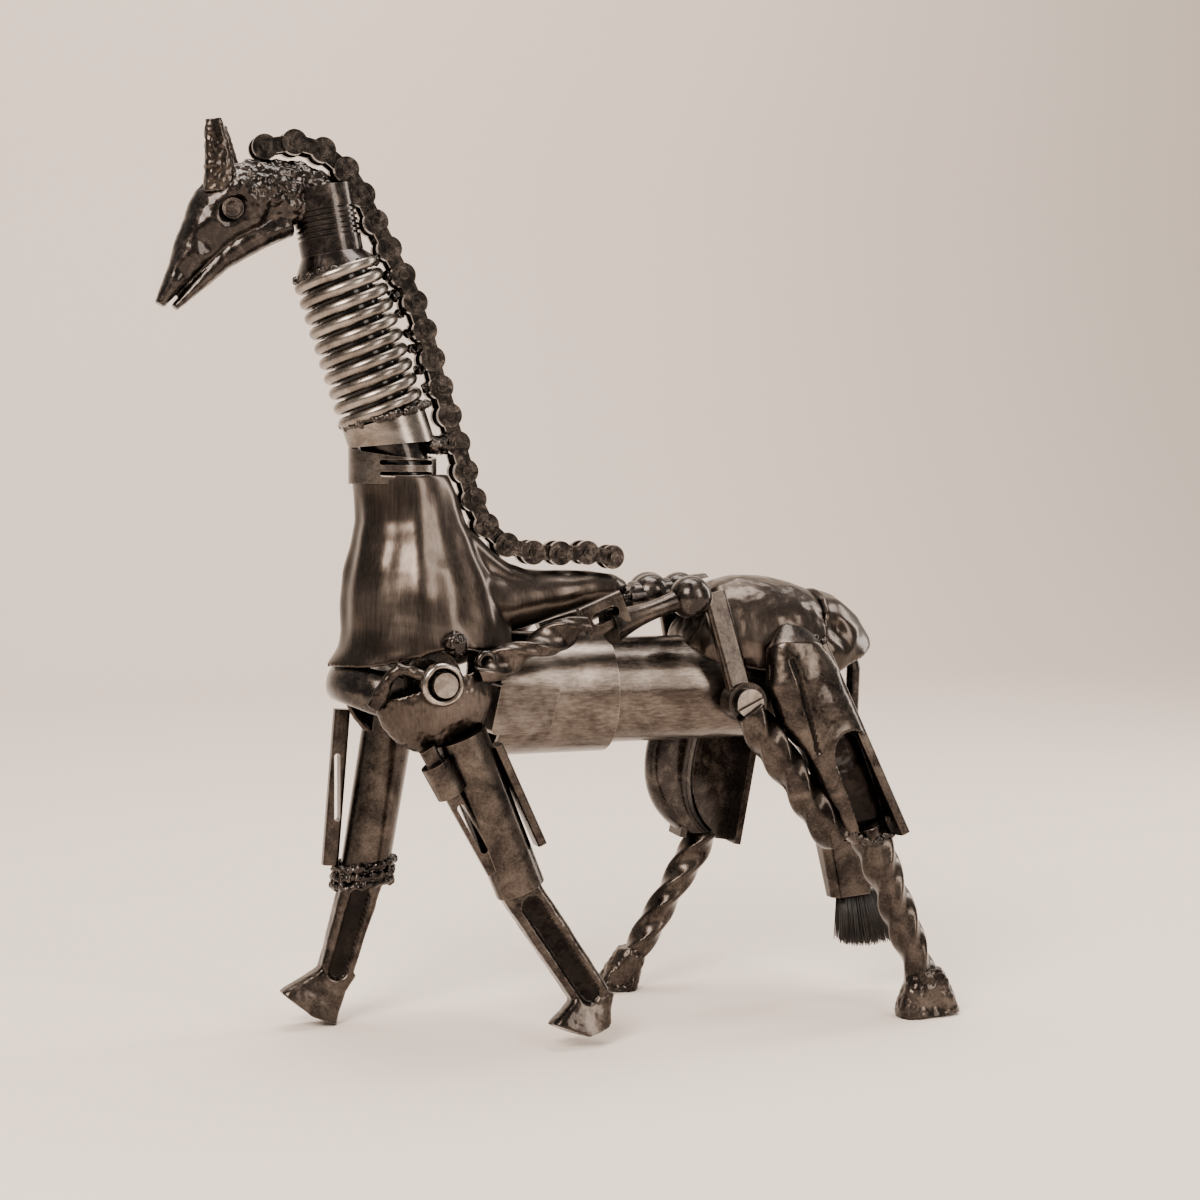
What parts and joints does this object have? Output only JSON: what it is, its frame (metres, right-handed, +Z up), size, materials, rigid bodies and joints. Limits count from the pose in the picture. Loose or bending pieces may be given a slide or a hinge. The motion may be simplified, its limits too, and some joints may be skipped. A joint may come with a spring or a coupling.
{
  "type": "giraffe sculpture",
  "caption": "Standing giraffe figure welded from scrap steel: roller-chain mane, coil-spring neck, tube body, forged and twisted bar legs and a brush tail.",
  "frame": {"origin": "on the ground, under the middle of the figure's bounding box", "axes": "+Z up; the giraffe faces -X and its left flank is -Y"},
  "size_m": [0.3514, 0.1102, 0.3921],
  "materials": {
    "dark_steel": "dark bronze-brown lacquered steel",
    "brushed_steel": "brushed brown steel",
    "spring_steel": "pale satin spring steel",
    "chain_steel": "oiled dark chain steel",
    "forged_steel": "forged steel with pale worn edges",
    "polished_steel": "polished steel pin heads",
    "bristle": "black brush bristle"
  },
  "bodies": {
    "root": {"body_barrel": "brushed_steel", "body_sleeve": "brushed_steel", "chain_inner_plates": "chain_steel", "chain_outer_plates": "chain_steel", "chain_pins": "chain_steel", "chain_rollers": "chain_steel", "chest_band": "dark_steel", "chest_shell": "brushed_steel", "eye_domes": "dark_steel", "eye_rings": "polished_steel", "flank_flap": "brushed_steel", "front_left_clamp": "forged_steel", "front_left_link_bar": "forged_steel", "front_left_rear_bar": "forged_steel", "front_left_shank": "forged_steel", "front_left_upper_tube": "forged_steel", "front_right_knee_band": "forged_steel", "front_right_link_bar": "forged_steel", "front_right_shank": "forged_steel", "front_right_upper_tube": "forged_steel", "hind_left_hoof": "forged_steel", "hind_left_shank": "forged_steel", "hind_left_thigh_bar": "brushed_steel", "hind_left_thigh_shell": "brushed_steel", "hind_left_thigh_twist": "forged_steel", "hind_right_hoof": "forged_steel", "hind_right_shank": "forged_steel", "hind_right_thigh_channel": "forged_steel", "hind_right_thigh_shell": "forged_steel", "hip_arm_left": "forged_steel", "hip_arm_right": "forged_steel", "hip_elbows": "forged_steel", "hip_eyes": "forged_steel", "hip_screws": "polished_steel", "horn_left": "dark_steel", "horn_right": "dark_steel", "lower_jaw": "dark_steel", "neck_inner_tube": "dark_steel", "neck_lower_collar": "spring_steel", "neck_slotted_sleeve": "brushed_steel", "neck_spring": "spring_steel", "neck_top_plug": "dark_steel", "neck_top_ring": "dark_steel", "rump_rear_panel": "brushed_steel", "rump_shell": "brushed_steel", "shoulder_cross_tube": "dark_steel", "shoulder_disc_left": "brushed_steel", "shoulder_disc_right": "brushed_steel", "shoulder_eyes": "polished_steel", "shoulder_pin": "polished_steel", "side_strap_left": "forged_steel", "side_strap_right": "forged_steel", "skull_crown": "dark_steel", "spine_bar": "dark_steel", "tail_bar": "forged_steel", "tail_bristles": "bristle", "tail_ferrule": "forged_steel", "tie_rod_left": "forged_steel", "tie_rod_right": "forged_steel", "upper_jaw": "dark_steel"}
  },
  "joints": []
}
